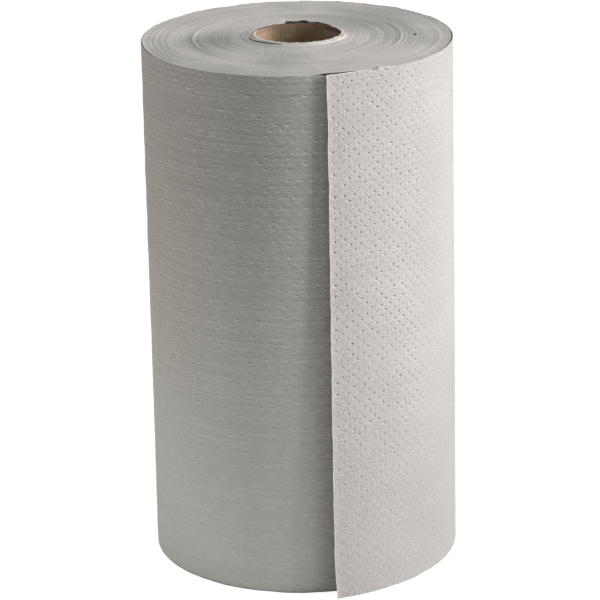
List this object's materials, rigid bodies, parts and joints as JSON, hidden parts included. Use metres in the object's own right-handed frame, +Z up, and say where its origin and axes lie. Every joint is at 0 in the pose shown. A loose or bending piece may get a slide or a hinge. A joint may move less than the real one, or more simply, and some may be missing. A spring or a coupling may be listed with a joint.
{
  "type": "paper towel roll",
  "caption": "Free-standing roll of grey pin-embossed paper towel wound on a cardboard tube, with its loose end lifted off the roll.",
  "frame": {"origin": "on the tube's axis, in the plane the roll stands on", "axes": "+Z up along the tube's axis, -Y towards the side where the loose end hangs open"},
  "size_m": [0.1397, 0.1468, 0.2423],
  "materials": {
    "paper": "matt grey creped paper with fine pin embossing",
    "cardboard": "matt brown spiral-wound board with a pale cut edge"
  },
  "bodies": {
    "root": {"paper_web": "paper", "core_tube": "cardboard"}
  },
  "joints": []
}
